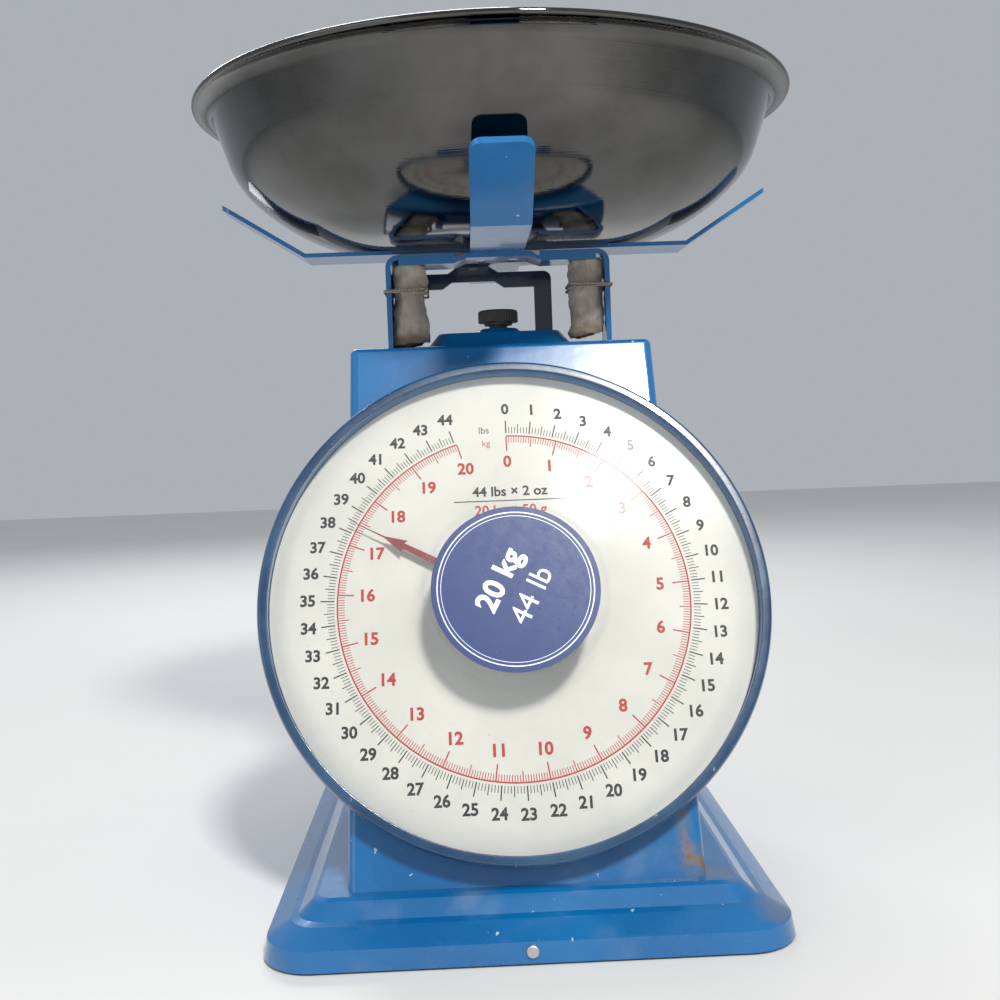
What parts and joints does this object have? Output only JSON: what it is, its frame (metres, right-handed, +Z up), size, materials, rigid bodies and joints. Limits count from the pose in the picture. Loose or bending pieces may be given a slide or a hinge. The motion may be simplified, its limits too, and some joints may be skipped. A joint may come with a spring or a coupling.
{
  "type": "mechanical dial platform scale",
  "caption": "Spring-operated dial scale: pressed-steel housing on a stepped base, tilted round dial with turning pointer, sliding load frame with a cross that carries a lift-off bowl.",
  "frame": {"origin": "on the ground under the load axis, at the bottom centre of the bounding box", "axes": "+Z up; the dial looks along -Y and up; +X is to the right of a person reading the dial"},
  "size_m": [0.289, 0.289, 0.3673],
  "materials": {
    "blue_paint": "bright blue gloss enamel on pressed steel",
    "dark_paint": "dark blue-black enamel",
    "zinc_steel": "zinc-plated steel",
    "spring_steel": "oiled spring wire",
    "brass": "turned brass",
    "dial_enamel": "off-white enamel with printed graduations",
    "clear_lens": "clear moulded plastic",
    "label_blue": "printed blue disc",
    "pointer_red": "red lacquer",
    "knob_black": "black moulded plastic, knurled",
    "rubber_black": "matt",
    "polished_steel": "mirror-polished stainless steel",
    "packing_paper": "creased brown-grey wrapping paper",
    "packing_string": "twisted twine"
  },
  "bodies": {
    "housing": {"base_pan": "blue_paint", "foot_front_left": "rubber_black", "foot_front_right": "rubber_black", "foot_rear_left": "rubber_black", "foot_rear_right": "rubber_black", "front_screw": "zinc_steel", "housing_shell": "blue_paint", "housing_screws": "zinc_steel", "rear_cover": "blue_paint", "cover_screws": "zinc_steel", "dial_case": "blue_paint", "case_screws": "zinc_steel", "dial_plate": "dial_enamel", "lens": "clear_lens", "lens_label": "label_blue", "bezel_ring": "blue_paint", "movement_bracket": "zinc_steel", "bracket_screws": "zinc_steel", "front_bush": "brass", "rear_bush": "brass", "top_bracket": "zinc_steel", "stay_post_left": "zinc_steel", "stay_post_right": "zinc_steel", "post_screws": "zinc_steel", "stay_pins": "zinc_steel", "travel_stop": "rubber_black", "packing_roll_left": "packing_paper", "packing_roll_right": "packing_paper"},
    "platform": {"front_post_left": "blue_paint", "front_post_right": "blue_paint", "frame_bridge": "blue_paint", "rear_frame": "dark_paint", "cross_long": "blue_paint", "cross_lateral": "blue_paint", "cross_rivets": "zinc_steel", "lower_yoke": "zinc_steel", "lower_spring_rod": "zinc_steel", "rack_hanger": "zinc_steel", "rack": "brass", "rack_screws": "zinc_steel", "frame_pins": "zinc_steel", "packing_string_left": "packing_string", "packing_string_right": "packing_string"},
    "bowl": {"bowl": "polished_steel"},
    "pointer": {"pinion_shaft": "zinc_steel", "pointer_hub": "brass", "pointer": "pointer_red"},
    "zero_knob": {"zero_knob": "knob_black", "zero_screw": "zinc_steel"},
    "spring_bridge": {"bridge_block": "zinc_steel", "upper_spring_rod": "zinc_steel", "main_spring_left": "spring_steel", "main_spring_right": "spring_steel"},
    "upper_stay": {"upper_stay": "zinc_steel"},
    "lower_stay": {"lower_stay": "zinc_steel"}
  },
  "joints": [
    {"name": "platform_slide", "type": "slide", "parent": "housing", "child": "platform", "axis": [0, 0, 1], "range_m": [-0.02269, 0], "stiffness_N_per_m": 10208, "springref_m": 0.00127, "deforming": ["main_spring_left", "main_spring_right", "packing_roll_left", "packing_roll_right"]},
    {"name": "bowl_lift", "type": "slide", "parent": "platform", "child": "bowl", "axis": [0, 0, 1], "range_m": [0, 0.12]},
    {"name": "pointer_turn", "type": "hinge", "parent": "housing", "child": "pointer", "pos_m": [0, -0.08804, 0.137], "axis": [0, 0.9336, -0.3584], "range_deg": [-0.5, 406]},
    {"name": "zero_turn", "type": "hinge", "parent": "housing", "child": "zero_knob", "pos_m": [0, 0, 0.26], "axis": [0, 0, 1], "range_deg": [-361, 361]},
    {"name": "bridge_lift", "type": "slide", "parent": "housing", "child": "spring_bridge", "axis": [0, 0, 1], "range_m": [-0.0008, 0.0008]},
    {"name": "upper_stay_swing", "type": "hinge", "parent": "housing", "child": "upper_stay", "pos_m": [0, 0.066, 0.195], "axis": [1, 0, 0], "range_deg": [-0.3, 16.6]},
    {"name": "lower_stay_swing", "type": "hinge", "parent": "housing", "child": "lower_stay", "pos_m": [0, 0.066, 0.14], "axis": [1, 0, 0], "range_deg": [-0.3, 16.6]}
  ],
  "couplings": [
    {"joint": "pointer_turn", "follows": "platform_slide", "rad_per_m": -311.19},
    {"joint": "upper_stay_swing", "follows": "platform_slide", "rad_per_m": -12.5},
    {"joint": "lower_stay_swing", "follows": "platform_slide", "rad_per_m": -12.5},
    {"joint": "zero_turn", "follows": "bridge_lift", "rad_per_m": -7854}
  ]
}
